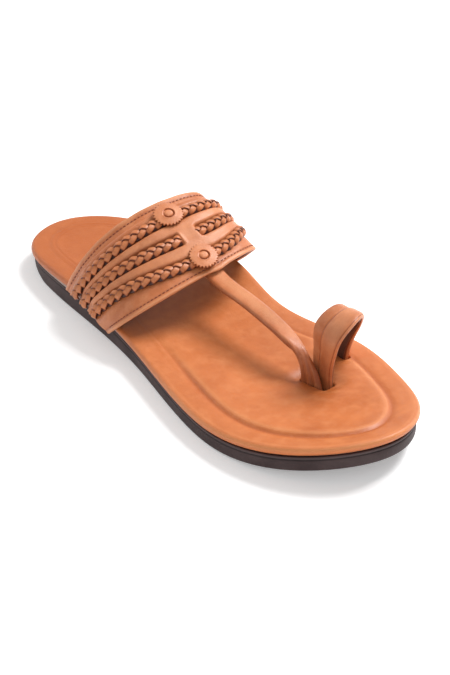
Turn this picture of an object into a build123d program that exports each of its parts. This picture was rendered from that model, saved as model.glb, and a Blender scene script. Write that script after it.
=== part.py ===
from build123d import *
import os
from math import cos, exp, pi, radians, sin, sqrt

# Toe-loop leather sandal for the right foot, millimetres.
# +Z is up, the toe points to -Y, the heel to +Y, the big-toe side is +X.
# The origin is on the ground plane under the middle of the sole.

os.makedirs("parts", exist_ok=True)

# ---------------------------------------------------------------- driving dimensions
SOLE_OUTLINE = [
    (0, 141), (-25, 130), (-34.5, 102), (-37, 55), (-41, 10), (-50, -40),
    (-51, -85), (-33, -121), (2, -137.5), (27, -123), (43, -91), (48.5, -50),
    (36.5, -5), (36.8, 35), (34.5, 70), (34, 104), (22.5, 129),
]
TOE_LIFT = 10.4           # rise of the sole under the toe tip
TOE_LIFT_START = -60      # where the flat ground face ends
TOE_LIFT_RUN = 79
HEEL_BEVEL = 6.0          # rise of the sole at the back of the heel
HEEL_BEVEL_START = 108
HEEL_BEVEL_RUN = 34
OUTSOLE_THICK = 7.6
HEEL_THICKER = 2.4        # extra rubber under the heel
MIDSOLE_THICK = 0.9
WAIST_THICKER = 1.3       # extra midsole at the waist
ARCH_RISE = 6.8           # medial arch of the footbed
RIM_OUT = 1.6             # leather rim beyond the outsole wall
MIDSOLE_IN = 0.2          # midsole wall inside the outsole wall
RIM_THICK = 4.4
COVER_THICK = 1.1
MARGIN_WIDTH = 11         # cover leather turned in under the board
BOARD_THICK = 1.2
PLATEAU_IN = 12           # moulded step, measured in from the rim
PLATEAU_RISE = 1.3

VAMP_LIFT = 0.3           # outer face above the nominal band surface
VAMP_THICK = 1.2
PADDING_THICK = 0.6
LINING_THICK = 0.6
BAND_WIDTH = 41           # from the rear edge to the front edge of the band
PLY_GAP = 0.25            # clearance between glued curved plies
BAND_STEPS = 23           # cross sections taken along the band
BRAID_WIDTH = 7.2
BRAID_THICK = 3.0
BRAID_GAP = 0.4           # clearance between a braid and the band leather
DISC_DIAMETER = 14.6
DISC_THICK = 1.5
DISC_TEETH = 26
DISC_GAP = 0.3
TOOTH = 0.7               # size of the notches of the pinked edge
RING_DIAMETER = 5.0
RING_WIDE = 0.7
RING_HIGH = 0.5
STITCH_LONG = 2.3
STITCH_WIDE = 0.6
STITCH_COUNT = 32
STITCH_INSET = 0.075      # in fractions of the band width

STRAP_THICK = 2.0
STRAP_LINING_THICK = 0.8
LOOP_THICK = 1.9
LOOP_LINING_THICK = 0.8
LOOP_SPLIT = 0.39         # where the front band laps over the rear band
MARGIN_LATERAL = (31, 76)   # y range of the leather turned in on each side
MARGIN_MEDIAL = (43, 77)
MARGIN_HOLD = 9           # how far in from the rim the turned-in leather reaches
# each slot: centre, direction of its long side, length, width
SLOT_BETWEEN_TOES = ((9.9, -69.6), (0.17, -0.985), 19.0, 9.4)
SLOT_MEDIAL = ((35.2, -52.6), (0.02, -1.0), 16.5, 5.0)
SLOT_CORNER = 2.0
# positions on the band: u from 0 lateral to 1 medial, v from 0 rear to 1 front
INNER_START, INNER_END = 0.06, 0.955
BRAID_START, BRAID_END = 0.005, 0.99
SLIT_U, TUCK_U = 0.435, 0.497         # where the middle braid stops and starts again
REAR_BRAID_V, CENTRE_BRAID_V, FRONT_BRAID_V = 0.225, 0.42, 0.64
CENTRE_SWELL, FRONT_SWELL = 0.09, 0.18
DISC_U, REAR_DISC_V, FRONT_DISC_V = 0.456, 0.208, 0.825
OUTLINE_SAMPLES = 26      # points taken round the sole for a grown outline
FAR = 200                 # larger than the sandal

TREAD_STARTS = (-104, -52, 72)
TREAD_COUNT = 6
TREAD_PITCH = 7
TREAD_WIDE = 1.8
TREAD_DEEP = 1.0
TREAD_BORDER = 7          # plain band round the edge of the ground face


# ---------------------------------------------------------------- sole heights
def bell(value, middle, spread):
    return exp(-(((value - middle) / spread) ** 2))


def toe_lift(y):
    return TOE_LIFT * (max(0.0, TOE_LIFT_START - y) / TOE_LIFT_RUN) ** 2


def outsole_top(x, y):
    return toe_lift(y) + OUTSOLE_THICK + HEEL_THICKER * bell(y, 70, 45)


def midsole_top(x, y):
    arch = ARCH_RISE * (max(0.0, x) / 34) ** 2 * bell(y, 38, 42)
    return outsole_top(x, y) + MIDSOLE_THICK + WAIST_THICKER * bell(y, 60, 40) + arch


def below(height, raise_by=0.0):
    """Everything under a height formula of x and y, raised by raise_by."""
    xs = [-66 + 12 * i for i in range(12)]
    ys = [-156 + 13 * i for i in range(25)]
    rows = [[Vector(x, y, height(x, y) + raise_by) for y in ys] for x in xs]
    sheet_over = Face.make_surface_from_array_of_points(rows)
    return extrude(sheet_over, amount=80, dir=(0, 0, -1))


def grown_outline(grow):
    """Points of the sole outline moved outwards by grow along its normals."""
    with BuildLine():
        base = Spline(*SOLE_OUTLINE, periodic=True)
    points = []
    for i in range(OUTLINE_SAMPLES):
        along = base.tangent_at(i / OUTLINE_SAMPLES)
        points.append(base.position_at(i / OUTLINE_SAMPLES) + Vector(along.Y, -along.X) * grow)
    return points


def column(grow):
    """Upright column over the sole outline, grown or shrunk by grow."""
    points = grown_outline(grow)
    with BuildPart() as tall:
        with BuildSketch():
            with BuildLine():
                Spline(*points, periodic=True)
            make_face()
        extrude(amount=FAR)
    return tall.part


def layer(grow, low, high):
    """Slice of a column between two heights above the midsole."""
    return (column(grow) & below(midsole_top, high)) - below(midsole_top, low)


# ---------------------------------------------------------------- curved leather
def instep(u, v):
    """Nominal outer face of the instep band: u runs lateral to medial, v rear to front."""
    lateral = Vector(-38.6 - 4.6 * v, 77 - 47 * v, 11.6 - 1.4 * v)
    medial = Vector(37.2 + 4.6 * v, 77.8 - 35.4 * v, 14.6 + 3.4 * v)
    across = medial - lateral
    lean = radians(27.5 + 20.6 * v)
    up = Vector(0, -sin(lean), cos(lean))
    turn = pi * u
    power = 2 / (2.23 if u < 0.5 else 2.8)
    rise = max(0.0, sin(turn)) ** power
    reach = abs(cos(turn)) ** power
    crown = 0.63 + 0.04 * v
    share = crown * (1 - reach) if u < 0.5 else crown + (1 - crown) * reach
    bulge = max(0.0, -(3.3 - 1.3 * v) * sin(2 * turn) * sqrt(max(0.0, sin(turn))))
    height = 51 - 13.6 * v
    return lateral + across * share + across.normalized() * bulge + up * (height * rise)


def normal_of(surface, u, v, step=0.004):
    along = surface(min(u + step, 1), v) - surface(max(u - step, 0), v)
    across = surface(u, v + step) - surface(u, v - step)
    return across.cross(along).normalized()


def sheet(surface, us, vs, lift):
    """Face through a formula surface, moved out by lift along its normals."""
    rows = [[surface(u, v) + normal_of(surface, u, v) * lift for v in vs] for u in us]
    return Face.make_surface_from_array_of_points(rows)


def ply(surface, us, vs, lift, thick):
    """Solid leather between lift and lift + thick on a formula surface."""
    low = sheet(surface, us, vs, lift)
    high = sheet(surface, us, vs, lift + thick)
    walls = []
    for edge in low.edges():
        middle = edge.position_at(0.5)
        partner = high.edges().sort_by_distance(middle)[0]
        walls.append(Face.make_surface_from_curves(edge, partner))
    return Solid(Shell([low, high, *walls]))


def spread(start, end, count):
    return [start + (end - start) * i / (count - 1) for i in range(count)]


def even_steps(surface, start, end, count):
    """Values of u from start to end at even distances along the middle of a surface."""
    fine = spread(start, end, 401)
    points = [surface(u, 0.5) for u in fine]
    run = [0.0]
    for here, there in zip(points, points[1:]):
        run.append(run[-1] + (there - here).length)
    steps = []
    for goal in spread(0, run[-1], count):
        k = max(i for i, length in enumerate(run[:-1]) if length <= goal)
        share = (goal - run[k]) / (run[k + 1] - run[k])
        steps.append(fine[k] + (fine[k + 1] - fine[k]) * share)
    return steps


def ribbon(left, right):
    """Formula surface between two hand-set edges, smoothed along their length."""
    with BuildLine():
        left_edge = Spline(*left)
        right_edge = Spline(*right)

    def surface(u, v):
        return left_edge.position_at(u) * (1 - v) + right_edge.position_at(u) * v

    return surface


# ---------------------------------------------------------------- sole
def under_sole():
    """Space between the ground plane and the curved-up toe and heel."""
    toe = TOE_LIFT_START - 90
    heel = HEEL_BEVEL_START + HEEL_BEVEL_RUN
    with BuildPart() as space:
        with BuildSketch(Plane.YZ):
            with BuildLine():
                Spline((TOE_LIFT_START, 0), (TOE_LIFT_START - 45, toe_lift(TOE_LIFT_START - 45)),
                       (toe, toe_lift(toe)), tangents=[(-1, 0), (-1, 0.3)])
                Polyline((toe, toe_lift(toe)), (toe, -5), (TOE_LIFT_START, -5), (TOE_LIFT_START, 0))
            make_face()
            with BuildLine():
                Polyline((HEEL_BEVEL_START, 0), (heel, HEEL_BEVEL), (heel, -5),
                         (HEEL_BEVEL_START, -5), close=True)
            make_face()
        extrude(amount=FAR, both=True)
    return space.part


def tread_grooves():
    """Cross grooves under the toes, the ball and the heel, inside a plain border."""
    border = column(-TREAD_BORDER)
    with BuildPart() as grooves:
        for start in TREAD_STARTS:
            for i in range(TREAD_COUNT):
                y = start + TREAD_PITCH * i
                with Locations((0, y, toe_lift(y))):
                    Box(FAR, TREAD_WIDE, 2 * TREAD_DEEP)
        add(border, mode=Mode.INTERSECT)
    return grooves.part


def make_outsole():
    block = (column(0) - under_sole()) & below(outsole_top)
    grooves = tread_grooves()
    with BuildPart() as outsole:
        add(block)
        add(grooves, mode=Mode.SUBTRACT)
    return outsole


def margin_zone(side):
    """Where the band leather is turned in under the footbed on one side."""
    low, high = MARGIN_LATERAL if side < 0 else MARGIN_MEDIAL
    ring = layer(RIM_OUT + 0.9, -VAMP_THICK, 0) - column(RIM_OUT - MARGIN_HOLD)
    slab = Box(FAR, high - low, FAR, align=(Align.MIN if side > 0 else Align.MAX, Align.MIN,
                                            Align.CENTER))
    return ring & (Pos(0, low, 0) * slab)


def footbed_slots():
    """Two slots through the footbed for the toe loop; the T-strap shares the first."""
    with BuildPart() as cut:
        for centre, direction, long, wide in (SLOT_BETWEEN_TOES, SLOT_MEDIAL):
            with BuildSketch(Plane((*centre, 0), x_dir=(*direction, 0))):
                RectangleRounded(long, wide, SLOT_CORNER)
        extrude(amount=FAR)
    return cut.part


def make_midsole():
    block = (column(-MIDSOLE_IN) & below(midsole_top)) - below(outsole_top)
    recesses = (margin_zone(-1), margin_zone(1))
    with BuildPart() as midsole:
        add(block)
        add(recesses, mode=Mode.SUBTRACT)
    return midsole


def make_layer(grow, low, high):
    slab = layer(grow, low, high)
    slots = footbed_slots()
    with BuildPart() as piece:
        add(slab)
        add(slots, mode=Mode.SUBTRACT)
    return piece


def padded_form(shrink):
    """Outer form of the footbed, or its inside when shrunk by the cover leather."""
    flat = layer(RIM_OUT - shrink, shrink, RIM_THICK - shrink)
    raised = layer(RIM_OUT - shrink - PLATEAU_IN, 0.5 * RIM_THICK, RIM_THICK + PLATEAU_RISE - shrink)
    with BuildPart() as form:
        add(flat)
        add(raised)
    return form.part


def make_foam_pad():
    form = padded_form(COVER_THICK)
    board_zone = below(midsole_top, COVER_THICK + BOARD_THICK)
    slots = footbed_slots()
    with BuildPart() as foam_pad:
        add(form)
        add(board_zone, mode=Mode.SUBTRACT)
        add(slots, mode=Mode.SUBTRACT)
    return foam_pad


def make_footbed_cover():
    outside = padded_form(0)
    inside = padded_form(COVER_THICK)
    window = layer(RIM_OUT - MARGIN_WIDTH, -0.5, COVER_THICK + 0.5)
    slots = footbed_slots()
    with BuildPart() as footbed_cover:
        add(outside)
        add(inside, mode=Mode.SUBTRACT)
        add(window, mode=Mode.SUBTRACT)
        add(slots, mode=Mode.SUBTRACT)
    return footbed_cover


# ---------------------------------------------------------------- instep band
def make_vamp_outer():
    us = even_steps(instep, 0.0, 1.0, BAND_STEPS)
    panel = ply(instep, us, spread(0, 1, 5), VAMP_LIFT - VAMP_THICK, VAMP_THICK)
    footbed_zone = column(RIM_OUT) & below(midsole_top, RIM_THICK + 2)
    lower = below(midsole_top, -VAMP_THICK)
    margins = (margin_zone(-1), margin_zone(1))
    with BuildPart() as vamp_outer:
        add(panel)
        add(footbed_zone, mode=Mode.SUBTRACT)
        add(lower, mode=Mode.SUBTRACT)
        add(margins)
    return vamp_outer


def make_inner_ply(top, thick):
    """A layer glued inside the band, ending a little above the footbed rim."""
    us = [u for u in even_steps(instep, 0.0, 1.0, BAND_STEPS) if INNER_START < u < INNER_END]
    layer_inside = ply(instep, us, spread(0, 1, 5), top - thick, thick)
    with BuildPart() as inner:
        add(layer_inside)
    return inner


def braid_line(base, swell):
    """Middle line of a braid as a share of the band width, swelling towards a disc."""
    def middle(u):
        return base + swell * bell(u, 0.47, 0.22)

    return middle


def make_braid(middle, start, end):
    def strip(u, v):
        return instep(u, middle(u) + (v - 0.5) * BRAID_WIDTH / BAND_WIDTH)

    us = even_steps(strip, start, end, 31)
    body = ply(strip, us, spread(0, 1, 3), VAMP_LIFT + BRAID_GAP, BRAID_THICK)
    with BuildPart() as braid:
        add(body)
    return braid


def make_disc(u, v):
    """Pinked leather rosette with a raised ring, lying on top of a braid."""
    out = normal_of(instep, u, v)
    middle = instep(u, v) + out * (VAMP_LIFT + BRAID_GAP + BRAID_THICK + DISC_GAP)
    along = instep(u + 0.01, v) - instep(u - 0.01, v)
    face = Plane(origin=middle, x_dir=along, z_dir=out)
    with BuildPart() as disc:
        with BuildSketch(face):
            Circle(DISC_DIAMETER / 2)
            with PolarLocations(DISC_DIAMETER / 2, DISC_TEETH):
                RegularPolygon(TOOTH, 3, rotation=30, mode=Mode.SUBTRACT)
        extrude(amount=DISC_THICK)
        with BuildSketch(face.offset(DISC_THICK)):
            Circle(RING_DIAMETER / 2)
            Circle(RING_DIAMETER / 2 - RING_WIDE, mode=Mode.SUBTRACT)
        extrude(amount=RING_HIGH)
    return disc


def make_stitching(v):
    """One row of thread stitches along an edge of the band."""
    def edge(u, _):
        return instep(u, v)

    with BuildPart() as stitching:
        for u in even_steps(edge, 0.05, 0.95, STITCH_COUNT):
            out = normal_of(instep, u, v)
            middle = instep(u, v) + out * (VAMP_LIFT + PLY_GAP + STITCH_WIDE / 2)
            along = instep(u + 0.01, v) - instep(u - 0.01, v)
            with BuildSketch(Plane(origin=middle, x_dir=out, z_dir=along)):
                Circle(STITCH_WIDE / 2)
            extrude(amount=STITCH_LONG / 2, both=True)
    return stitching


# ---------------------------------------------------------------- toe strap and toe loop
STRAP_LATERAL = [(2.6, 22, 40.0), (2.6, 9, 35.6), (2.8, -14, 34.2), (3.0, -40, 32.2),
                 (3.4, -57, 28.8), (4.7, -62.6, 21), (5.3, -63.4, 9.4)]
STRAP_MEDIAL = [(11.6, 22, 41.6), (11.4, 9, 36.8), (11.0, -14, 35.4), (11.0, -38, 33.2),
                (10.6, -53.2, 29.8), (8.0, -70.6, 20), (7.8, -75.2, 9.4)]
LOOP_REAR = [(10.7, -64.6, 9.4), (10.9, -64.6, 20), (11.1, -64.2, 32), (12.4, -64.4, 42.5),
             (21, -65, 48.5), (31.5, -60, 43.5), (36.6, -52, 32), (36.6, -46.6, 20),
             (35.8, -45.6, 9.4)]
LOOP_FRONT = [(12.4, -76.4, 9.4), (11.8, -76.8, 20), (10.4, -80.6, 31), (11.4, -84.4, 42.5),
              (21, -83.5, 49.3), (32, -75.5, 44.5), (37, -67, 33), (36.4, -61, 20),
              (35.6, -59.2, 9.4)]


def make_ribbon(left, right, from_v, to_v, lift, thick, start=0.0, end=1.0):
    surface = ribbon(left, right)
    us = even_steps(surface, start, end, 17)
    body = ply(surface, us, spread(from_v, to_v, 5), lift, thick)
    with BuildPart() as strip:
        add(body)
    return strip


# ---------------------------------------------------------------- build and write the pieces
padding_top = VAMP_LIFT - VAMP_THICK - PLY_GAP
lining_top = padding_top - PADDING_THICK - PLY_GAP
rear_line = braid_line(REAR_BRAID_V, 0.0)
centre_line = braid_line(CENTRE_BRAID_V, CENTRE_SWELL)
front_line = braid_line(FRONT_BRAID_V, FRONT_SWELL)
loop_lining_top = -LOOP_THICK - PLY_GAP
strap_lining_low = STRAP_THICK + PLY_GAP

pieces = {
    "outsole": make_outsole(),
    "midsole": make_midsole(),
    "bottom_filler": make_layer(RIM_OUT - MARGIN_WIDTH, 0, COVER_THICK),
    "insole_board": make_layer(RIM_OUT - COVER_THICK, COVER_THICK, COVER_THICK + BOARD_THICK),
    "foam_pad": make_foam_pad(),
    "footbed_cover": make_footbed_cover(),
    "vamp_outer": make_vamp_outer(),
    "vamp_padding": make_inner_ply(padding_top, PADDING_THICK),
    "vamp_lining": make_inner_ply(lining_top, LINING_THICK),
    "rear_braid": make_braid(rear_line, BRAID_START, BRAID_END),
    "centre_braid_lateral": make_braid(centre_line, BRAID_START, SLIT_U),
    "centre_braid_medial": make_braid(centre_line, TUCK_U, BRAID_END),
    "front_braid": make_braid(front_line, BRAID_START, BRAID_END),
    "rear_disc": make_disc(DISC_U, REAR_DISC_V),
    "front_disc": make_disc(DISC_U, FRONT_DISC_V),
    "rear_stitching": make_stitching(STITCH_INSET),
    "front_stitching": make_stitching(1 - STITCH_INSET),
    "toe_strap": make_ribbon(STRAP_LATERAL, STRAP_MEDIAL, 0, 1, 0, STRAP_THICK),
    "toe_strap_lining": make_ribbon(STRAP_LATERAL, STRAP_MEDIAL, 0.06, 0.94,
                                    strap_lining_low, STRAP_LINING_THICK),
    "toe_loop_rear_band": make_ribbon(LOOP_REAR, LOOP_FRONT, 0, LOOP_SPLIT - 0.004,
                                      -LOOP_THICK, LOOP_THICK),
    "toe_loop_front_band": make_ribbon(LOOP_REAR, LOOP_FRONT, LOOP_SPLIT, 1,
                                       -LOOP_THICK, LOOP_THICK),
    "toe_loop_lining": make_ribbon(LOOP_REAR, LOOP_FRONT, 0.02, 0.98,
                                   loop_lining_top - LOOP_LINING_THICK, LOOP_LINING_THICK,
                                   start=0.07, end=0.93),
}
for name, piece in pieces.items():
    piece.part.label = name
    export_step(piece.part, f"parts/{name}.step")
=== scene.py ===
import bmesh
import bpy
import numpy as np
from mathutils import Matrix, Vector


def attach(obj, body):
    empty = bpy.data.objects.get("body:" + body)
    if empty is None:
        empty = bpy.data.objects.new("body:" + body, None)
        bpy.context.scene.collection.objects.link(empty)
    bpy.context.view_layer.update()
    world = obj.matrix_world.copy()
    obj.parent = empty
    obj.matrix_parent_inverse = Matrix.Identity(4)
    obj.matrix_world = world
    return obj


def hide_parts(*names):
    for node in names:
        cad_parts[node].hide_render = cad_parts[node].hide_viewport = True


# Toe-loop leather sandal, right foot. Shapes are worked out in millimetres in the frame's
# axes (toe to -Y, big-toe side +X, ground at Z = 0) and become metres in make_mesh.

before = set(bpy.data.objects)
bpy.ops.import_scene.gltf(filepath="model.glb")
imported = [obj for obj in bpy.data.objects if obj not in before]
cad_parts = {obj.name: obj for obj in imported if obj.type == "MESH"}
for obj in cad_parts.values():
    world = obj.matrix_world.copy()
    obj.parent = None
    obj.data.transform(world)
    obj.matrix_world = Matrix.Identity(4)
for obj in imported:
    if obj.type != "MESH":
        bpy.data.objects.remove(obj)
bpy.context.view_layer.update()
MM = 0.001

# ---------------------------------------------------------------- sizes
# Most are the same as in the CAD source. The first slot, the front braid's line, the front
# disc's place and the rows of stitches differ a little from it.
SOLE_OUTLINE = [
    (0, 141), (-25, 130), (-34.5, 102), (-37, 55), (-41, 10), (-50, -40),
    (-51, -85), (-33, -121), (2, -137.5), (27, -123), (43, -91), (48.5, -50),
    (36.5, -5), (36.8, 35), (34.5, 70), (34, 104), (22.5, 129),
]
TOE_LIFT = 10.4
TOE_LIFT_START = -60
TOE_LIFT_RUN = 79
HEEL_BEVEL = 6.0
HEEL_BEVEL_START = 108
HEEL_BEVEL_RUN = 34
OUTSOLE_THICK = 7.6
HEEL_THICKER = 2.4
MIDSOLE_THICK = 0.9
WAIST_THICKER = 1.3
ARCH_RISE = 6.8
TOE_INSET = 1.3           # how far the midsole hides under the rim round the toe
RIM_TOP = 4.42            # leather rim over the midsole
STEP_DEEP = 0.5           # groove of the moulded step round the toe
PLATEAU = 5.7             # padded middle over the midsole, at the toe
PLATEAU_DROP = 1.0        # how much lower it is from the waist back
TREAD_STARTS = (-104, -52, 72)
TREAD_COUNT = 6
TREAD_PITCH = 7
TREAD_WIDE = 1.8
TREAD_DEEP = 1.0
TREAD_BORDER = 7
# each slot: centre x, y, direction of its long side, length, width
SLOTS = [((9.9, -69.8), (0.17, -0.985), 17.4, 8.6), ((35.2, -52.6), (0.02, -1.0), 16.5, 5.0)]
STRAP_LATERAL = [(2.6, 22, 40.0), (2.6, 9, 35.6), (2.8, -14, 34.2), (3.0, -40, 32.2),
                 (3.4, -57, 28.8), (4.7, -62.6, 21), (5.3, -63.4, 9.4)]
STRAP_MEDIAL = [(11.6, 22, 41.6), (11.4, 9, 36.8), (11.0, -14, 35.4), (11.0, -38, 33.2),
                (10.6, -53.2, 29.8), (8.0, -70.6, 20), (7.8, -75.2, 9.4)]
LOOP_REAR = [(10.7, -64.6, 9.4), (10.9, -64.6, 20), (11.1, -64.2, 32), (12.4, -64.4, 42.5),
             (21, -65, 48.5), (31.5, -60, 43.5), (36.6, -52, 32), (36.6, -46.6, 20),
             (35.8, -45.6, 9.4)]
LOOP_FRONT = [(12.4, -76.4, 9.4), (11.8, -76.8, 20), (10.4, -80.6, 31), (11.4, -84.4, 42.5),
              (21, -83.5, 49.3), (32, -75.5, 44.5), (37, -67, 33), (36.4, -61, 20),
              (35.6, -59.2, 9.4)]
BAND_WIDTH = 41
BRAID_HALF = 2.85
BRAID_LIFT = 1.7          # middle of a braid over the band surface
# positions on the band: u from 0 lateral to 1 medial, v from 0 rear to 1 front
REAR_BRAID_V, CENTRE_BRAID_V, FRONT_BRAID_V = 0.225, 0.42, 0.64
CENTRE_SWELL, FRONT_SWELL = 0.09, 0.185
BRAID_START, BRAID_END = 0.005, 0.99
SLIT_U, TUCK_U = 0.435, 0.497         # where the middle braid stops and starts again
STRAP_U = 0.478
DISC_U, REAR_DISC_V, FRONT_DISC_V = 0.456, 0.208, 0.83
DISC_LIFT = 3.35
STITCH_COUNT = 58
REAR_STITCH_V, FRONT_STITCH_V = 0.05, 0.952
PUFF = 2.35               # padded leather between the braids, over the band surface
SIDE_COLUMNS = 260        # mesh columns along each side of the sole
STRIP_ROWS = 150          # mesh rows along the toe strap and the toe loop


# ---------------------------------------------------------------- small maths
def bell(value, middle, spread):
    return np.exp(-(((value - middle) / spread) ** 2))


def smooth(value, low, high):
    t = np.clip((value - low) / (high - low), 0, 1)
    return t * t * (3 - 2 * t)


def unit(vectors):
    return vectors / np.maximum(np.linalg.norm(vectors, axis=-1, keepdims=True), 1e-9)


def spline(points, count, closed=False):
    """count evenly spaced points on a smooth curve through the given ones."""
    p = np.array(points, float)
    n = len(p)
    ends = np.roll(p, -1, 0) if closed else p[1:]
    chord = np.linalg.norm(ends - p[: len(ends)], axis=1)
    system, right = np.zeros((n, n)), np.zeros(p.shape)
    for i in range(n):
        if closed or 0 < i < n - 1:
            before, after, j = chord[i - 1], chord[i % len(chord)], (i + 1) % n
            system[i, i - 1], system[i, i], system[i, j] = after, 2 * (before + after), before
            right[i] = 3 * (after * (p[i] - p[i - 1]) / before + before * (p[j] - p[i]) / after)
        else:
            j, h = (1, chord[0]) if i == 0 else (n - 2, chord[-1])
            system[i, i], system[i, j] = 2, 1
            right[i] = 3 * (p[j] - p[i]) / h * (1 if i == 0 else -1)
    slope = np.linalg.solve(system, right)
    t = np.linspace(0, 1, 60, endpoint=False)[:, None]
    pieces = []
    for i, h in enumerate(chord):
        j = (i + 1) % n
        pieces.append((2 * t**3 - 3 * t**2 + 1) * p[i] + (t**3 - 2 * t**2 + t) * h * slope[i]
                      + (3 * t**2 - 2 * t**3) * p[j] + (t**3 - t**2) * h * slope[j])
    fine = np.vstack([*pieces, p[:1] if closed else p[-1:]])
    run = np.concatenate([[0], np.cumsum(np.linalg.norm(np.diff(fine, axis=0), axis=1))])
    goals = np.linspace(0, run[-1], count, endpoint=not closed)
    return np.stack([np.interp(goals, run, fine[:, k]) for k in range(p.shape[1])], -1)


# ---------------------------------------------------------------- mesh building
def make_mesh(name, points, shade=None, caps=False, smooth_angle=None):
    """Stack of closed rings (rows x columns x 3, mm) as a smooth mesh in metres.

    shade is a value for each point, -1 darker to 1 lighter, that the materials read: painted shade
    and highlights, with some random tone on the toe loop."""
    rows, columns = points.shape[:2]
    mesh = bpy.data.meshes.new(name)
    index = np.arange(rows * columns).reshape(rows, columns)
    faces = []
    for a, b in zip(index, index[1:]):
        for c in range(columns):
            d = (c + 1) % columns
            faces.append((a[c], a[d], b[d], b[c]))
    if caps:
        faces += [tuple(index[0][::-1]), tuple(index[-1])]
    mesh.from_pydata((points.reshape(-1, 3) * MM).tolist(), [], [tuple(map(int, f)) for f in faces])
    if shade is not None:
        layer = mesh.attributes.new("shade", "FLOAT", "POINT")
        layer.data.foreach_set("value", np.ascontiguousarray(shade, np.float32).ravel())
    work = bmesh.new()
    work.from_mesh(mesh)
    bmesh.ops.remove_doubles(work, verts=work.verts, dist=1e-6)
    bmesh.ops.recalc_face_normals(work, faces=work.faces)
    work.to_mesh(mesh)
    work.free()
    mesh.shade_smooth()
    if smooth_angle:
        mesh.set_sharp_from_angle(angle=smooth_angle)
    piece = bpy.data.objects.new(name, mesh)
    bpy.context.scene.collection.objects.link(piece)
    return piece


def join(name, objects):
    """Several mesh objects as one piece."""
    work = bmesh.new()
    for one in objects:
        work.from_mesh(one.data)
    mesh = bpy.data.meshes.new(name)
    work.to_mesh(mesh)
    work.free()
    for one in objects:
        bpy.data.meshes.remove(one.data)
    piece = bpy.data.objects.new(name, mesh)
    bpy.context.scene.collection.objects.link(piece)
    return piece


def cut(piece, cutter):
    """Takes the cutter's shape out of the piece and removes the cutter."""
    modifier = piece.modifiers.new("cut", "BOOLEAN")
    modifier.object = cutter
    modifier.operation = "DIFFERENCE"
    modifier.solver = "EXACT"
    graph = bpy.context.evaluated_depsgraph_get()
    done = bpy.data.meshes.new_from_object(piece.evaluated_get(graph))
    piece.modifiers.clear()
    piece.data = done
    bpy.data.objects.remove(cutter)


# ---------------------------------------------------------------- materials
class Nodes:
    """Short calls for building one material's node tree."""

    def __init__(self, name):
        self.material = bpy.data.materials.new(name)
        self.material.use_nodes = True
        self.tree = self.material.node_tree
        self.shader = self.tree.nodes["Principled BSDF"]
        self.place = self.add("ShaderNodeTexCoord").outputs["Object"]

    def add(self, kind, **values):
        node = self.tree.nodes.new(kind)
        for key, value in values.items():
            setattr(node, key, value)
        return node

    def link(self, source, target):
        self.tree.links.new(source, target)

    def noise(self, size_mm, detail=3.0, rough=0.55, stretch=None):
        node = self.add("ShaderNodeTexNoise")
        node.inputs["Scale"].default_value = 1 / (size_mm * MM)
        node.inputs["Detail"].default_value = detail
        node.inputs["Roughness"].default_value = rough
        place = self.place
        if stretch:
            mapping = self.add("ShaderNodeMapping")
            mapping.inputs["Scale"].default_value = stretch
            self.link(place, mapping.inputs["Vector"])
            place = mapping.outputs["Vector"]
        self.link(place, node.inputs["Vector"])
        return node.outputs["Fac"]

    def cells(self, size_mm):
        node = self.add("ShaderNodeTexVoronoi", feature="DISTANCE_TO_EDGE")
        node.inputs["Scale"].default_value = 1 / (size_mm * MM)
        self.link(self.place, node.inputs["Vector"])
        return node.outputs["Distance"]

    def shade(self):
        return self.add("ShaderNodeAttribute", attribute_name="shade").outputs["Fac"]

    def ranged(self, source, low, high, to_low=0.0, to_high=1.0):
        node = self.add("ShaderNodeMapRange")
        for key, value in (("From Min", low), ("From Max", high), ("To Min", to_low),
                           ("To Max", to_high)):
            node.inputs[key].default_value = value
        self.link(source, node.inputs["Value"])
        return node.outputs["Result"]

    def mix(self, amount, first, second):
        node = self.add("ShaderNodeMix", data_type="RGBA")
        for socket, value in ((node.inputs["Factor"], amount), (node.inputs["A"], first),
                              (node.inputs["B"], second)):
            slot = socket if socket.type != "RGBA" else None
            target = slot or next(s for s in node.inputs
                                  if s.name == socket.name and s.type == "RGBA")
            if isinstance(value, bpy.types.NodeSocket):
                self.link(value, target)
            elif isinstance(value, (int, float)):
                target.default_value = value
            else:
                target.default_value = (*value, 1)
        return [s for s in node.outputs if s.type == "RGBA"][0]

    def bump(self, layers):
        """layers: (height source, depth in mm); stacked so that each adds to the last."""
        normal = None
        for source, depth in layers:
            node = self.add("ShaderNodeBump")
            node.inputs["Strength"].default_value = 1.0
            node.inputs["Distance"].default_value = depth * MM
            self.link(source, node.inputs["Height"])
            if normal is not None:
                self.link(normal, node.inputs["Normal"])
            normal = node.outputs["Normal"]
        self.link(normal, self.shader.inputs["Normal"])

    def set(self, **values):
        for key, value in values.items():
            self.shader.inputs[key.replace("_", " ")].default_value = value


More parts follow.
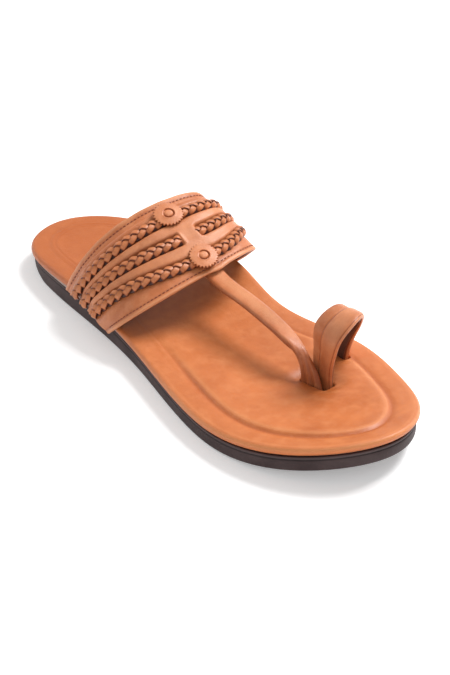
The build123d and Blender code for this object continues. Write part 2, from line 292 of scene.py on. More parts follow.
def leather(name, base, deep, pale, rough=0.42, grain=0.05):
    """Smooth aniline leather: cloudy colour, fine pores, creases, and painted shade and highlights
    from the mesh.
    """
    n = Nodes(name)
    clouds = n.noise(26, 4.0, 0.6)
    mottle = n.noise(5.5, 5.0, 0.6)
    pores = n.cells(0.75)
    fibres = n.noise(0.5, 3.0, 0.7)
    creases = n.noise(3.2, 4.0, 0.5, stretch=(1.0, 0.45, 1.0))
    shade = n.shade()
    colour = n.mix(n.ranged(clouds, 0.35, 0.7, 0.0, 0.55), base, deep)
    colour = n.mix(n.ranged(mottle, 0.45, 0.75, 0.0, 0.35), colour, pale)
    # painted shade toward the deep colour and painted highlight toward the pale one, read from the
    # mesh's shade values
    colour = n.mix(n.ranged(shade, 0.0, -1.0), colour, deep)
    colour = n.mix(n.ranged(shade, 0.0, 1.0), colour, pale)
    colour = n.mix(n.ranged(pores, 0.0, 0.09, 0.16, 0.0), colour, deep)
    n.link(colour, n.shader.inputs["Base Color"])
    n.link(n.ranged(mottle, 0.3, 0.7, rough - 0.05, rough + 0.09), n.shader.inputs["Roughness"])
    n.set(Specular_IOR_Level=0.42, Coat_Weight=0.10, Coat_Roughness=0.32)
    n.bump([(creases, 0.16), (n.ranged(pores, 0.0, 0.12), grain), (fibres, 0.35 * grain)])
    return n.material


def rubber(name, base, dust_and_highlight):
    """Dark moulded rubber with a matt, slightly speckled skin."""
    n = Nodes(name)
    speckle = n.noise(1.3, 4.0, 0.7)
    clouds = n.noise(16, 3.0)
    colour = n.mix(n.ranged(clouds, 0.35, 0.7, 0.0, 0.5), base, dust_and_highlight)
    colour = n.mix(n.ranged(speckle, 0.6, 0.75, 0.0, 0.4), colour, dust_and_highlight)
    # painted highlight toward the dusty colour where shade is above 0, painted shade toward near
    # black where it is below
    colour = n.mix(n.ranged(n.shade(), 0.0, 1.0), colour, dust_and_highlight)
    colour = n.mix(n.ranged(n.shade(), 0.0, -1.0), colour, (0.006, 0.004, 0.004))
    n.link(colour, n.shader.inputs["Base Color"])
    n.set(Roughness=0.62, Specular_IOR_Level=0.35)
    n.bump([(speckle, 0.14), (n.noise(0.45, 2.0), 0.05)])
    return n.material


def fibrous(name, base, deep, size_mm, rough=0.9, depth=0.2):
    """Felt, fibre board, foam or suede: a matt skin with short random fibres."""
    n = Nodes(name)
    fuzz = n.noise(size_mm, 5.0, 0.75)
    patch = n.noise(size_mm * 14, 3.0)
    colour = n.mix(n.ranged(fuzz, 0.35, 0.7), base, deep)
    colour = n.mix(n.ranged(patch, 0.4, 0.7, 0.0, 0.4), colour, deep)
    n.link(colour, n.shader.inputs["Base Color"])
    n.set(Roughness=rough, Specular_IOR_Level=0.2, Sheen_Weight=0.15, Sheen_Roughness=0.6)
    n.bump([(fuzz, depth)])
    return n.material


def waxed_thread(name, base, deep):
    n = Nodes(name)
    twist = n.noise(0.35, 2.0, 0.6, stretch=(1.0, 1.0, 2.5))
    n.link(n.mix(n.ranged(twist, 0.4, 0.65), base, deep), n.shader.inputs["Base Color"])
    n.set(Roughness=0.55, Specular_IOR_Level=0.4)
    n.bump([(twist, 0.08)])
    return n.material


# the deep and pale colours give the leathers' real mottling and pores and also their painted shade
# and painted highlights
TAN = (0.620, 0.176, 0.044)
TAN_DEEP = (0.400, 0.088, 0.013)
TAN_PALE = (0.760, 0.290, 0.105)
UPPER = (0.630, 0.196, 0.068)
UPPER_DEEP = (0.260, 0.058, 0.014)
UPPER_PALE = (0.800, 0.360, 0.170)
LACE = (0.460, 0.112, 0.031)
LACE_DEEP = (0.055, 0.011, 0.004)
LACE_PALE = (0.72, 0.26, 0.09)

FOOTBED_LEATHER = leather("footbed_leather", TAN, TAN_DEEP, TAN_PALE, rough=0.45, grain=0.04)
UPPER_LEATHER = leather("upper_leather", UPPER, UPPER_DEEP, UPPER_PALE, rough=0.40, grain=0.05)
BRAID_LEATHER = leather("braid_leather", LACE, LACE_DEEP, LACE_PALE, rough=0.38, grain=0.04)
LINING_LEATHER = leather("lining_leather", (0.170, 0.050, 0.022), (0.070, 0.020, 0.010),
                         (0.260, 0.095, 0.050), rough=0.55, grain=0.05)
SOLE_RUBBER = rubber("sole_rubber", (0.036, 0.018, 0.018), (0.092, 0.058, 0.057))
MIDSOLE_FOAM = fibrous("midsole_foam", (0.47, 0.37, 0.32), (0.32, 0.24, 0.21), 0.5, 0.8, 0.12)
BOARD = fibrous("fibre_board", (0.36, 0.24, 0.14), (0.22, 0.13, 0.07), 0.8)
FELT = fibrous("filler_felt", (0.20, 0.17, 0.15), (0.11, 0.09, 0.08), 0.5)
THREAD = waxed_thread("dark_thread", (0.300, 0.080, 0.038), (0.140, 0.034, 0.016))


def finish_piece(piece, material, slot, *nodes):
    """Gives a piece its material and its body and hides the CAD nodes that it stands for; slot is
    not used.
    """
    piece.data.materials.clear()
    piece.data.materials.append(material)
    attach(piece, "root")
    if nodes:
        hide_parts(*nodes)


# ---------------------------------------------------------------- sole heights and outline
def toe_lift(y):
    return TOE_LIFT * (np.maximum(0, TOE_LIFT_START - y) / TOE_LIFT_RUN) ** 2


def ground(_, y):
    return toe_lift(y) + HEEL_BEVEL * np.maximum(0, y - HEEL_BEVEL_START) / HEEL_BEVEL_RUN


def outsole_top(_, y):
    return toe_lift(y) + OUTSOLE_THICK + HEEL_THICKER * bell(y, 70, 45)


def midsole_top(x, y):
    arch = ARCH_RISE * (np.maximum(0, x) / 34) ** 2 * bell(y, 38, 42)
    return outsole_top(x, y) + MIDSOLE_THICK + WAIST_THICKER * bell(y, 60, 40) + arch


def paired_outline():
    """Outline points heel to toe down the lateral side and back up the medial side.

    The two sides have matching counts, and each pair shares a point on the middle line."""
    fine = spline(SOLE_OUTLINE, 4000, closed=True)
    heel, toe = fine[:, 1].argmax(), fine[:, 1].argmin()
    turned = np.roll(fine, -heel, 0)
    split = (toe - heel) % len(fine)
    lateral, medial = turned[: split + 1], np.vstack([turned[split:], turned[:1]])[::-1]
    sides = []
    for side in (lateral, medial):
        run = np.concatenate([[0], np.cumsum(np.linalg.norm(np.diff(side, axis=0), axis=1))])
        goals = np.linspace(0, run[-1], SIDE_COLUMNS + 1)
        sides.append(np.stack([np.interp(goals, run, side[:, k]) for k in (0, 1)], -1))
    middle_y = np.clip((sides[0][:, 1] + sides[1][:, 1]) / 2, -137.5 + 44, 141 - 33)
    across = [np.interp(middle_y, s[::-1, 1], s[::-1, 0]) for s in (lateral, medial)]
    middle = np.stack([(across[0] + across[1]) / 2, middle_y], -1)
    rim = np.vstack([sides[0], sides[1][-2:0:-1]])
    centre = np.vstack([middle, middle[-2:0:-1]])
    along = unit(np.roll(rim, -1, 0) - np.roll(rim, 1, 0))
    return rim, np.stack([along[:, 1], -along[:, 0]], -1), centre


RIM, RIM_NORMAL, MIDDLE = paired_outline()
MEDIAL_RIM = RIM[SIDE_COLUMNS:]       # toe to heel up the big-toe side


def ring(out, inward=0.0):
    """The outline moved out by out mm, then drawn a share inward of the way to the middle."""
    points = RIM + RIM_NORMAL * out
    return points + (MIDDLE - points) * inward


def round_sole(profile, shade=None, inset=0.0):
    """Closed slab: profile is a list of (out, inward, height function, rise over it, optional
    painted shade value); shade, if given, scales those values for each point.
    """
    rows, tones = [], []
    for out, inward, height, rise, *tone in profile:
        xy = ring(out - inset, inward)
        rows.append(np.column_stack([xy, height(xy[:, 0], xy[:, 1]) + rise]))
        tones.append(np.full(len(xy), tone[0] if tone else 0.0) * (shade(xy) if shade else 1))
    return np.array(rows), np.array(tones)


def slot_cutter(name, centre, direction, long, wide, low, high):
    """Upright rounded box through the footbed."""
    radius, corner = 2.0, np.linspace(0, np.pi / 2, 6)
    loop = []
    for k, (sx, sy) in enumerate(((1, 1), (-1, 1), (-1, -1), (1, -1))):
        turn = corner + k * np.pi / 2
        loop += [(sx * (long / 2 - radius) + radius * np.cos(a),
                  sy * (wide / 2 - radius) + radius * np.sin(a)) for a in turn]
    loop = np.array(loop)
    axis = unit(np.array(direction))
    side = np.array([-axis[1], axis[0]])
    flat = np.array(centre) + loop[:, :1] * axis + loop[:, 1:] * side
    rows = [np.column_stack([flat, np.full(len(flat), z)]) for z in (low, high)]
    return make_mesh(name, np.array(rows), caps=True)


def slot_distance(x, y):
    """Distance in mm from the nearer slot's edge, 0 inside it."""
    nearest = np.full(np.shape(x), 99.0)
    for centre, direction, long, wide in SLOTS:
        axis = unit(np.array(direction))
        dx, dy = x - centre[0], y - centre[1]
        along, across = dx * axis[0] + dy * axis[1], -dx * axis[1] + dy * axis[0]
        gap = np.hypot(np.maximum(0, abs(along) - long / 2), np.maximum(0, abs(across) - wide / 2))
        nearest = np.minimum(nearest, gap)
    return nearest


# ---------------------------------------------------------------- sole pieces
def make_outsole():
    top, low = outsole_top, ground
    profile = [(-8, t, low, 0) for t in (1.0, 0.75, 0.5, 0.25)]
    profile += [(-8, 0, low, 0), (-4, 0, low, 0), (-1.6, 0, low, 0), (-0.8, 0, low, 0.12),
                (-0.35, 0, low, 0.45), (-0.1, 0, low, 1.0), (0.0, 0, low, 1.8)]
    # the fifth numbers paint shade into the small groove under the top edge and a highlight on the
    # bead above it
    profile += [(0.02, 0, top, -3.4), (0.0, 0, top, -2.3), (-0.1, 0, top, -2.0, -0.3),
                (-0.3, 0, top, -1.8, -0.6), (-0.3, 0, top, -1.5, -0.6), (-0.1, 0, top, -1.3, 0.2),
                (0.05, 0, top, -1.0, 0.5), (0.05, 0, top, -0.4, 0.4), (-0.15, 0, top, -0.1, 0.5),
                (-0.5, 0, top, 0), (-4, 0, top, 0), (-8, 0, top, 0)]
    profile += [(-8, t, top, 0) for t in (0.25, 0.5, 0.75, 1.0)]
    points, tone = round_sole(profile)
    piece = make_mesh("rubber_outsole", points, shade=tone)
    bars = []
    for start in TREAD_STARTS:
        for i in range(TREAD_COUNT):
            y = start + TREAD_PITCH * i
            near = np.abs(RIM[:, 1] - y) < 2.5
            left = RIM[near & (RIM[:, 0] < 0), 0].mean() + TREAD_BORDER
            right = RIM[near & (RIM[:, 0] > 0), 0].mean() - TREAD_BORDER
            bars.append(tread_bar(left, right, y, float(ground(0, y))))
    cut(piece, join("tread_cutter", bars))
    finish_piece(piece, SOLE_RUBBER, "sole_rubber", "outsole")


def tread_bar(left, right, y, z):
    """Half-round cutter for one cross groove, slightly waved."""
    turn = np.linspace(0, 2 * np.pi, 16, endpoint=False)
    rows = []
    for x in np.linspace(left, right, 24):
        wave = 0.9 * np.sin(x / 4.2)
        rows.append(np.column_stack([np.full(16, x), y + wave + TREAD_WIDE / 2 * np.cos(turn),
                                     z + TREAD_DEEP * np.sin(turn)]))
    return make_mesh("tread_bar", np.array(rows), caps=True)


def make_midsole():
    low, top = outsole_top, midsole_top
    rows = [(-8, t, low, 0.02) for t in (1.0, 0.5)]
    rows += [(-8, 0, low, 0.02), (-0.6, 0, low, 0.02), (-0.15, 0, low, 0.15, 0.3)]
    inset = TOE_INSET * smooth(-RIM[:, 1:], 0, 70)
    points, tone = round_sole(rows, inset=inset)
    walls = []
    for share, out in ((0.3, -0.12), (0.55, -0.2), (0.8, -0.15)):
        xy = ring(out - inset)
        z = low(xy[:, 0], xy[:, 1]) * (1 - share) + top(xy[:, 0], xy[:, 1]) * share
        walls.append(np.column_stack([xy, z]))
    upper = [(-0.3, 0, top, -0.1, 0.3), (-0.8, 0, top, 0), (-8, 0, top, 0)]
    upper += [(-8, t, top, 0) for t in (0.5, 1.0)]
    more, more_tone = round_sole(upper, inset=inset)
    points = np.concatenate([points, np.array(walls), more])
    tone = np.concatenate([tone, np.zeros((3, tone.shape[1])), more_tone])
    piece = make_mesh("midsole_layer", points, shade=tone)
    finish_piece(piece, MIDSOLE_FOAM, "midsole_foam", "midsole")


def footbed_height(x, y):
    """Top of the padded footbed: dips at the slots, a shallow heel cup and a soft ball pad."""
    near = slot_distance(x, y)
    dip = -1.3 * np.exp(-((near / 3.2) ** 2)) + 0.35 * bell(near, 7, 3.5)
    heel = -0.9 * bell(y, 92, 34) * bell(x, -1, 20)
    ball = -0.7 * bell(y, -42, 34) * bell(x, 2, 26)
    ripple = 0.12 * np.sin(x / 9.0 + 1.0) * np.sin(y / 13.0)
    return midsole_top(x, y) + dip + heel + ball + ripple


def make_footbed():
    under, top = midsole_top, footbed_height

    def step(x, y):
        """Bottom of the moulded step's groove, which fades out towards the waist."""
        return under(x, y) + RIM_TOP - STEP_DEEP * (1 - smooth(y, -45, 15))

    def raised(share):
        def height(x, y):
            full = PLATEAU - PLATEAU_DROP * smooth(y, -45, 30)
            low = RIM_TOP * (1 - share) + full * share
            return under(x, y) * (1 - share) + top(x, y) * share + low
        return height

    profile = [(-9.4, 1.0, under, 1.0), (-9.4, 0, under, 1.0), (-9.2, 0, under, 0.08),
               (-3.0, 0, under, 0.06), (-0.6, 0, under, 0.04)]
    # painted highlight on the upper part of the rolled rim edge and painted shade on its lower part
    for angle in np.radians([-70, -45, -20, 0, 20, 38, 55, 72]):
        tone = 0.75 * bell(np.degrees(angle), 34, 24) - 0.6 * bell(np.degrees(angle), -55, 30)
        profile.append((-0.5 + 2.1 * np.cos(angle), 0, under, 2.15 + 2.1 * np.sin(angle), tone))
    # painted highlight on the rim top, painted shade in the step's groove and a painted highlight
    # on the rise of the raised middle
    profile += [(-1.0, 0, under, 4.28, 0.25), (-2.4, 0, under, 4.36), (-4.5, 0, under, RIM_TOP),
                (-7.0, 0, under, RIM_TOP), (-8.6, 0, under, 4.34), (-9.6, 0, step, 0.3, -0.15),
                (-10.4, 0, step, 0.08, -0.4), (-11.2, 0, step, 0.0, -0.7),
                (-11.9, 0, step, 0.16, -0.6), (-12.7, 0, raised(0.25), 0, -0.1),
                (-13.5, 0, raised(0.6), 0, 0.4), (-14.4, 0, raised(0.84), 0, 0.4),
                (-15.6, 0, raised(0.96), 0, 0.1), (-17.2, 0, raised(1.0), 0)]
    profile += [(-17.2, t, raised(1.0), 0) for t in np.linspace(0.06, 1.0, 20)]
    def fade(xy):
        """The painted highlights and shade of the rim and step are crisp round the toe and faint
        behind it.
        """
        return 1 - 0.85 * smooth(xy[:, 1], -50, 10)

    points, tone = round_sole(profile, fade)
    # painted shade: the footbed grows darker toward the heel
    tone = tone - 0.55 * smooth(points[..., 1], 30, 95)
    piece = make_mesh("leather_footbed", points, shade=tone)
    for k, (centre, direction, long, wide) in enumerate(SLOTS):
        cut(piece, slot_cutter(f"slot_{k}", centre, direction, long, wide, 2, 40))
    finish_piece(piece, FOOTBED_LEATHER, "footbed_leather", "footbed_cover", "foam_pad")


# ---------------------------------------------------------------- instep band surface
def instep(u, v):
    """Nominal outer face of the band: u runs lateral to medial, v rear to front."""
    u, v = np.broadcast_arrays(np.asarray(u, float), np.asarray(v, float))
    lateral = np.stack([-38.6 - 4.6 * v, 77 - 47 * v, 11.6 - 1.4 * v], -1)
    medial = np.stack([37.2 + 4.6 * v, 77.8 - 35.4 * v, 14.6 + 3.4 * v], -1)
    across = medial - lateral
    lean = np.radians(27.5 + 20.6 * v)
    up = np.stack([0 * v, -np.sin(lean), np.cos(lean)], -1)
    power = np.where(u < 0.5, 2 / 2.23, 2 / 2.8)
    rise = np.maximum(0, np.sin(np.pi * u)) ** power
    reach = np.abs(np.cos(np.pi * u)) ** power
    crown = 0.63 + 0.04 * v
    share = np.where(u < 0.5, crown * (1 - reach), crown + (1 - crown) * reach)
    swell = -(3.3 - 1.3 * v) * np.sin(2 * np.pi * u) * np.sqrt(np.maximum(0, np.sin(np.pi * u)))
    height = (51 - 13.6 * v) * rise
    return (lateral + across * share[..., None] + unit(across) * np.maximum(0, swell)[..., None]
            + up * height[..., None])


FINE_U = np.linspace(0, 1, 6001)
RUN = np.concatenate([[0], np.cumsum(np.linalg.norm(np.diff(instep(FINE_U, 0.5), axis=0), axis=1))])
LENGTH = RUN[-1]


def run_at(u):
    """Distance along the middle of the band, in mm, for a value of u."""
    return np.interp(u, FINE_U, RUN)


def band(s, v):
    return instep(np.interp(s, RUN, FINE_U), v)


def band_frame(s, v):
    """Point, outward normal, direction along the band and direction to its front edge."""
    point = band(s, v)
    along = unit(band(s + 0.9, v) - band(s - 0.9, v))
    front = band(s, v + 0.01) - band(s, v - 0.01)
    out = unit(np.cross(front, along))
    return point, out, along, np.cross(along, out)


def braid_v(base, swell):
    """Middle line of a braid as a share of the band's width, at a distance s."""
    return lambda s: base + swell * bell(np.interp(s, RUN, FINE_U), 0.47, 0.22)


REAR_LINE = braid_v(REAR_BRAID_V, 0.0)
CENTRE_LINE = braid_v(CENTRE_BRAID_V, CENTRE_SWELL)
FRONT_LINE = braid_v(FRONT_BRAID_V, FRONT_SWELL)
SLIT_S, TUCK_S, STRAP_S = run_at(SLIT_U), run_at(TUCK_U), run_at(STRAP_U)
FIRST_S, LAST_S = run_at(BRAID_START), run_at(BRAID_END)
CHANNEL = (BRAID_HALF - 0.1) / BAND_WIDTH


def pillow(v, low, high, height, power=6.5):
    """Puffed panel between two braids: steep beside the low edge, full towards the high one."""
    t = np.clip((v - low) / np.maximum(high - low, 1e-6), 0, 1)
    return height * (1 - np.abs(2 * t**0.9 - 1) ** power) * (high > low)


def puff(s, v):
    """Height of the padded leather over the nominal band surface, in mm."""
    rear, centre, front = REAR_LINE(s), CENTRE_LINE(s), FRONT_LINE(s)
    closed = smooth(s, SLIT_S - 0.3, SLIT_S + 1.5) * (1 - smooth(s, TUCK_S - 2.0, TUCK_S + 0.8))
    first = np.clip(26 * (centre - rear - 2 * CHANNEL), 0.5, PUFF)
    second = np.clip(26 * (front - centre - 2 * CHANNEL), 0.5, PUFF)
    apart = (pillow(v, rear + CHANNEL, centre - CHANNEL, first)
             + pillow(v, centre + CHANNEL, front - CHANNEL, second))
    together = pillow(v, rear + CHANNEL, front - CHANNEL, PUFF, 11.0)
    lift = apart * (1 - closed) + together * closed
    lift = lift + pillow(v, 0.105, rear - CHANNEL + 0.02, 0.9, 2.4)
    lift = lift + pillow(v, front + CHANNEL - 0.02, 1.3, 0.5)
    across = np.abs(v - centre) * BAND_WIDTH
    lip = 0.45 * np.exp(-(((s - SLIT_S - 1.4) / 0.9) ** 2)) * (1 - smooth(across, 2.6, 3.8))
    cover = 0.6 * smooth(s, TUCK_S - 9, TUCK_S - 1.5) * (1 - smooth(s, TUCK_S - 0.2, TUCK_S + 0.5))
    lift = lift + lip + cover * (1 - smooth(across, 1.6, 5.0))
    thread = -0.28 * (bell(v, REAR_STITCH_V, 0.013) + bell(v, FRONT_STITCH_V, 0.013))
    wrinkle = (0.10 * np.sin(s / 2.9 + 14 * v) * np.sin(s / 7.1 - 9 * v)
               + 0.08 * np.sin(s / 5.3 + 31 * v))
    return 0.1 + lift + thread + wrinkle


def fold_under(points, s, v):
    """Turns the ends of the band in under the footbed."""
    x, y, z = points[..., 0], points[..., 1], points[..., 2]
    edge = np.where(s < LENGTH / 2, -1.0, 1.0)
    last = instep(1.0, v)
    rim_x = np.interp(last[..., 1], MEDIAL_RIM[:, 1], MEDIAL_RIM[:, 0]) + 2.2
    pull = smooth(s, LENGTH - 16, LENGTH) ** 1.3
    x = x + pull * np.minimum(0, rim_x - last[..., 0])
    z = z + pull * np.minimum(0, midsole_top(36, last[..., 1]) - 0.8 - last[..., 2])
    goal = midsole_top(np.clip(x, -36, 36.5), y) - 0.5
    short = np.maximum(0, goal - z)
    near = (s < 22) | (s > LENGTH - 22)
    x = np.where(near, x - edge * 1.5 * short, x)
    z = np.where(near, np.maximum(z, goal), z)
    return np.stack([x, y, z], -1)


def end_gaps(s, v):
    """How far the leather between the braids draws back where the ends are gathered."""
    from_end = np.minimum(s, LENGTH - s)
    strip = (v > FRONT_LINE(s) + CHANNEL * 0.6) | (v < REAR_LINE(s) - CHANNEL * 0.6)
    return np.where(strip, 0, 2.2 * (1 - smooth(from_end, 1.5, 12)))


def band_shell(name, low_v, high_v, outside, inside, rows, columns, taper, start=0.0, end=None):
    """Closed leather shell: outside and inside give heights for s and v, and taper gives the
    painted shade and highlights of its outer face.
    """
    end = LENGTH if end is None else end
    s = np.linspace(start, end, rows)[:, None]
    vs = low_v + (high_v - low_v) * (0.5 - 0.5 * np.cos(np.linspace(0.03, 0.97, columns) * np.pi))
    vs = 0.35 * vs + 0.65 * np.linspace(low_v, high_v, columns)
    turn = np.linspace(-75, 75, 7)
    parts, tones = [], []
    point_at_strap = 0.02 * bell(s, STRAP_S, 4.5)

    def add(v, lift, forward, tone):
        v = v + point_at_strap * smooth(v, 0.86, 1.0)
        at, out, _, front = band_frame(s, v)
        at = at + out * lift[..., None] + front * forward[..., None]
        parts.append(fold_under(at, s + 0 * v, v))
        tones.append(tone + 0 * lift)

    grid = vs[None, :] + 0 * s
    high = outside(s, grid)
    # painted highlight along both edges of the outer face
    edges = bell(grid, low_v, 0.02) + bell(grid, high_v, 0.02)
    add(grid, high, 0 * grid, 0.5 * edges + taper(s, grid))
    for last, sign in ((high_v, 1), (low_v, -1)):
        v = last + 0 * s
        top, bottom = outside(s, v), inside(s, v)
        middle, radius = (top + bottom) / 2, (top - bottom) / 2
        angles = np.radians(turn[::-1] if sign > 0 else turn)[None, :]
        lift, forward = middle + radius * np.sin(angles), sign * radius * np.cos(angles)
        # painted highlight on the rolled edges
        add(v + 0 * angles, lift, forward, 0.45)
        if sign > 0:
            grid_back = vs[::-1][None, :] + 0 * s
            # painted shade on the inner face
            add(grid_back, inside(s, grid_back), 0 * grid_back, -0.3)
    return make_mesh(name, np.concatenate(parts, 1),
                     shade=np.concatenate(tones, 1), caps=True)


def make_band():
    def outside(s, v):
        return puff(s, v) - end_gaps(s, v)

    def inside(s, v):
        return np.minimum(-0.9, outside(s, v) - 1.0)

    def painted_shadow_and_highlight(s, v):
        # painted shadow along the braids' channels and the stitch rows, and a painted highlight on
        # the tops of the puffs
        dark = sum(bell(v, line(s), CHANNEL * 0.85) for line in (REAR_LINE, FRONT_LINE))
        open_centre = 1 - smooth(s, SLIT_S, SLIT_S + 1) * (1 - smooth(s, TUCK_S - 1, TUCK_S))
        dark = dark + bell(v, CENTRE_LINE(s), CHANNEL * 0.85) * open_centre
        stitches = bell(v, REAR_STITCH_V, 0.012) + bell(v, FRONT_STITCH_V, 0.012)
        return -0.75 * np.clip(dark, 0, 1) - 0.25 * stitches + 0.25 * smooth(puff(s, v), 1.2, 2.3)

    piece = band_shell("instep_band", 0.0, 1.0, outside, inside, 300, 130, painted_shadow_and_highlight)
    finish_piece(piece, UPPER_LEATHER, "upper_leather", "vamp_outer", "vamp_padding")

    def lining_out(s, v):
        return -1.15 + 0 * v + 0 * s

    def lining_in(s, v):
        return -1.75 + 0.05 * np.sin(s / 3.7 + 11 * v) + 0 * v

    lining = band_shell("band_lining", 0.012, 0.988, lining_out, lining_in, 160, 30,
                        lambda s, v: 0 * v, start=5.0, end=LENGTH - 5.0)
    finish_piece(lining, LINING_LEATHER, "lining_leather", "vamp_lining")


# ---------------------------------------------------------------- braids
def make_braid(name, line, start, end, node):
    """Three flat laces plaited along a line on the band."""
    pitch, swing, dive, half_wide, half_thick = 14.4, 1.9, 0.75, 1.55, 0.66
    s = np.arange(start, end, 0.36)
    v = line(s)
    at, out, _, _ = band_frame(s, v)
    run = np.concatenate([[0], np.cumsum(np.linalg.norm(np.diff(at, axis=0), axis=1))])
    along = unit(np.gradient(at, axis=0))
    side = np.cross(along, out)
    ends = np.minimum(run, run[-1] - run)
    taper = 0.45 + 0.55 * smooth(ends, 0, 3.5)
    sink = -1.5 * (1 - smooth(ends, 0, 3.0))
    turn = np.linspace(0, 2 * np.pi, 18, endpoint=False)
    c, q = np.cos(turn), np.sin(turn)
    flat_c, flat_q = np.sign(c) * np.abs(c) ** 0.6, np.sign(q) * np.abs(q) ** 0.7
    laces = []
    for k in range(3):
        phase = 2 * np.pi * (run / pitch + k / 3)
        wave = -np.tanh(1.6 * np.sin(2 * phase)) / np.tanh(1.6)
        path = (at + side * (swing * np.sin(phase) * taper)[:, None]
                + out * (BRAID_LIFT + dive * wave * taper + sink)[:, None])
        path = fold_under(path, s, v)
        forward = unit(np.gradient(path, axis=0))
        up = unit(out + side * (0.75 * np.sin(phase))[:, None])
        wide = unit(np.cross(forward, up))
        up = np.cross(wide, forward)
        across = (wide[:, None] * (half_wide * flat_c)[None, :, None]
                  + up[:, None] * (half_thick * flat_q)[None, :, None])
        tube = path[:, None] + across * taper[:, None, None]
        # painted highlight on the top of each lace where it crosses over, painted shade where it
        # passes under the others and along its side edges
        high = smooth(wave[:, None] + 0 * c, -0.75, 0.2)
        tone = 0.5 * high * smooth(q, 0.2, 1.0) * (1 - np.abs(c) ** 3) - 1.0 * (1 - high)
        tone = tone - 1.0 * smooth(np.abs(c), 0.86, 1.0)
        laces.append(make_mesh(f"lace_{k}", tube, shade=tone, caps=True))
    piece = join(name, laces)
    finish_piece(piece, BRAID_LEATHER, "braid_leather", node)


# ---------------------------------------------------------------- rosettes and stitches
def walk_band(s0, v0, along_mm, front_mm):
    """s and v of a point so many mm along and across the band from s0, v0."""
    step = np.linalg.norm(band(s0, v0 + 0.02) - band(s0, v0 - 0.02)) / 0.04
    here = np.linalg.norm(band(s0 + 1, v0) - band(s0 - 1, v0)) / 2
    return s0 + along_mm / here, v0 + front_mm / step


def make_rosette(name, v, node):
    """Pinked leather disc that bends over the braid, with a pressed C-shaped ring."""
    teeth, radius, thick, columns = 26, 7.15, 1.1, 26 * 8
    turn = np.linspace(0, 2 * np.pi, columns, endpoint=False)
    saw = np.abs(((turn * teeth / (2 * np.pi)) % 1) * 2 - 1)
    edge = radius + 0.3 - 1.0 * (1 - saw) ** 1.1
    opening = 1 - 0.85 * bell((turn - np.radians(215) + np.pi) % (2 * np.pi) - np.pi, 0, 0.75)
    rows, tones = [], []

    def height(r):
        groove = -0.7 * bell(r, 2.5, 0.32) * opening
        dome = 0.35 * (1 - smooth(r, 1.2, 2.4)) + 0.18 * bell(r, 3.1, 0.4) * opening
        return groove + dome

    def add(r, lift, tone):
        s, w = walk_band(run_at(DISC_U), v, r * np.cos(turn), r * np.sin(turn))
        at, out, _, _ = band_frame(s, w)
        drop = 0.011 * r**2
        rows.append(at + out * (DISC_LIFT + lift - drop)[:, None])
        tones.append(tone + 0 * turn)

    # the top face is painted a little lighter, the pressed ring's groove painted shade, the rim a
    # painted highlight, and the edge face and underside painted shade
    for r in (0.3, 0.8, 1.3, 1.7):
        add(r + 0 * turn, thick + height(r + 0 * turn), 0.2)
    for r in np.linspace(1.9, 3.8, 13):
        add(r + 0 * turn, thick + height(r + 0 * turn), 0.15 - 1.15 * bell(r, 2.5, 0.4) * opening)
    for share in (0.2, 0.4, 0.6, 0.8, 0.93):
        add(3.8 + (edge - 3.8) * share, thick + 0.04 * np.sin(5 * turn + 9 * share), 0.15)
    add(edge - 0.12, thick - 0.06 + 0 * turn, 0.35)
    add(edge, thick - 0.3 + 0 * turn, -0.5)
    add(edge, 0.15 + 0 * turn, -1.0)
    add(edge - 0.3, 0 * turn, -1.0)
    for share in (0.8, 0.5, 0.1):
        add(edge * share, 0 * turn, -0.6)
    piece = make_mesh(name, np.array(rows), shade=np.array(tones), caps=True,
                      smooth_angle=0.9)
    finish_piece(piece, UPPER_LEATHER, "upper_leather", node)


def make_stitches(name, v, node):
    """Short thread stitches lying in the groove along an edge of the band."""
    long, thick = 1.6, 0.25
    rings = np.linspace(-1, 1, 9)
    turn = np.linspace(0, 2 * np.pi, 8, endpoint=False)
    run = np.linspace(run_at(0.035), run_at(0.965), STITCH_COUNT)
    random = np.random.default_rng(7)
    stitches = []
    for s in run:
        bend = random.uniform(-0.12, 0.12)
        along_s = s + rings * long / 2
        w = v + (bend * rings) / BAND_WIDTH
        at, out, _, front = band_frame(along_s, w)
        lift = puff(along_s, w) + 0.16 - 0.45 * rings**4
        at = fold_under(at + out * lift[:, None], along_s, w)
        radius = thick * np.sqrt(np.maximum(0.12, 1 - rings**6))
        circle = (out[:, None] * np.sin(turn)[None, :, None]
                  + front[:, None] * np.cos(turn)[None, :, None])
        tube = at[:, None] + circle * radius[:, None, None]
        stitches.append(make_mesh("stitch", tube, caps=True))
    piece = join(name, stitches)
    finish_piece(piece, THREAD, "thread", node)


